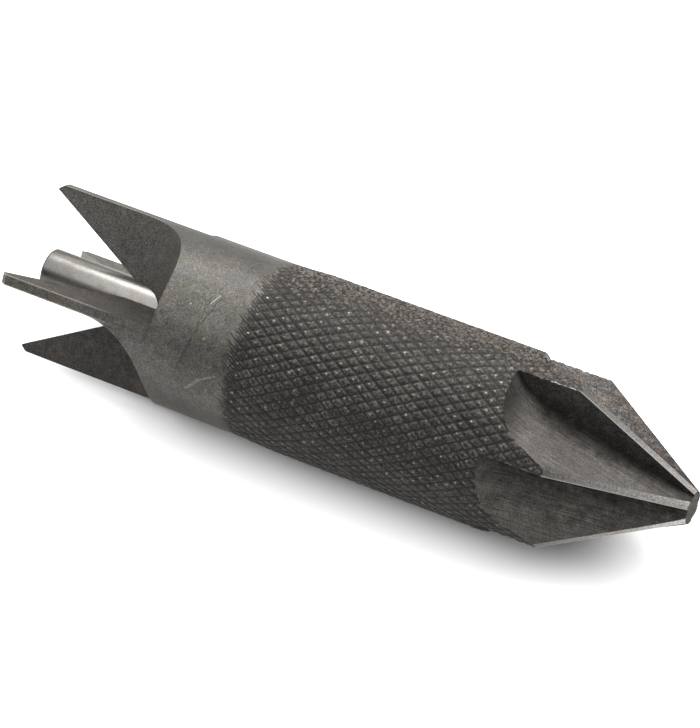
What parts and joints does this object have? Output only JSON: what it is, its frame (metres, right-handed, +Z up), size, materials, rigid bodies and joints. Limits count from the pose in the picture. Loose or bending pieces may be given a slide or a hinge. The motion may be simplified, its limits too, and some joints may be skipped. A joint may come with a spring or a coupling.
{
  "type": "deburring tool",
  "caption": "Double-ended hand deburring tool: crown with internal cone and pilot pin, knurled grip, fluted cone.",
  "frame": {"origin": "on the tool's axis at mid-length, the centre of its bounding box", "axes": "+X along the tool's axis towards the fluted cone, +Z up with the tool lying on its side, +Y by the right-hand rule"},
  "size_m": [0.064, 0.0164, 0.0164],
  "materials": {
    "knurled_steel": "dark hardened steel, satin collar, diamond knurl",
    "ground_steel": "bright ground steel"
  },
  "bodies": {
    "root": {"body": "knurled_steel", "pilot_pin": "ground_steel"}
  },
  "joints": []
}
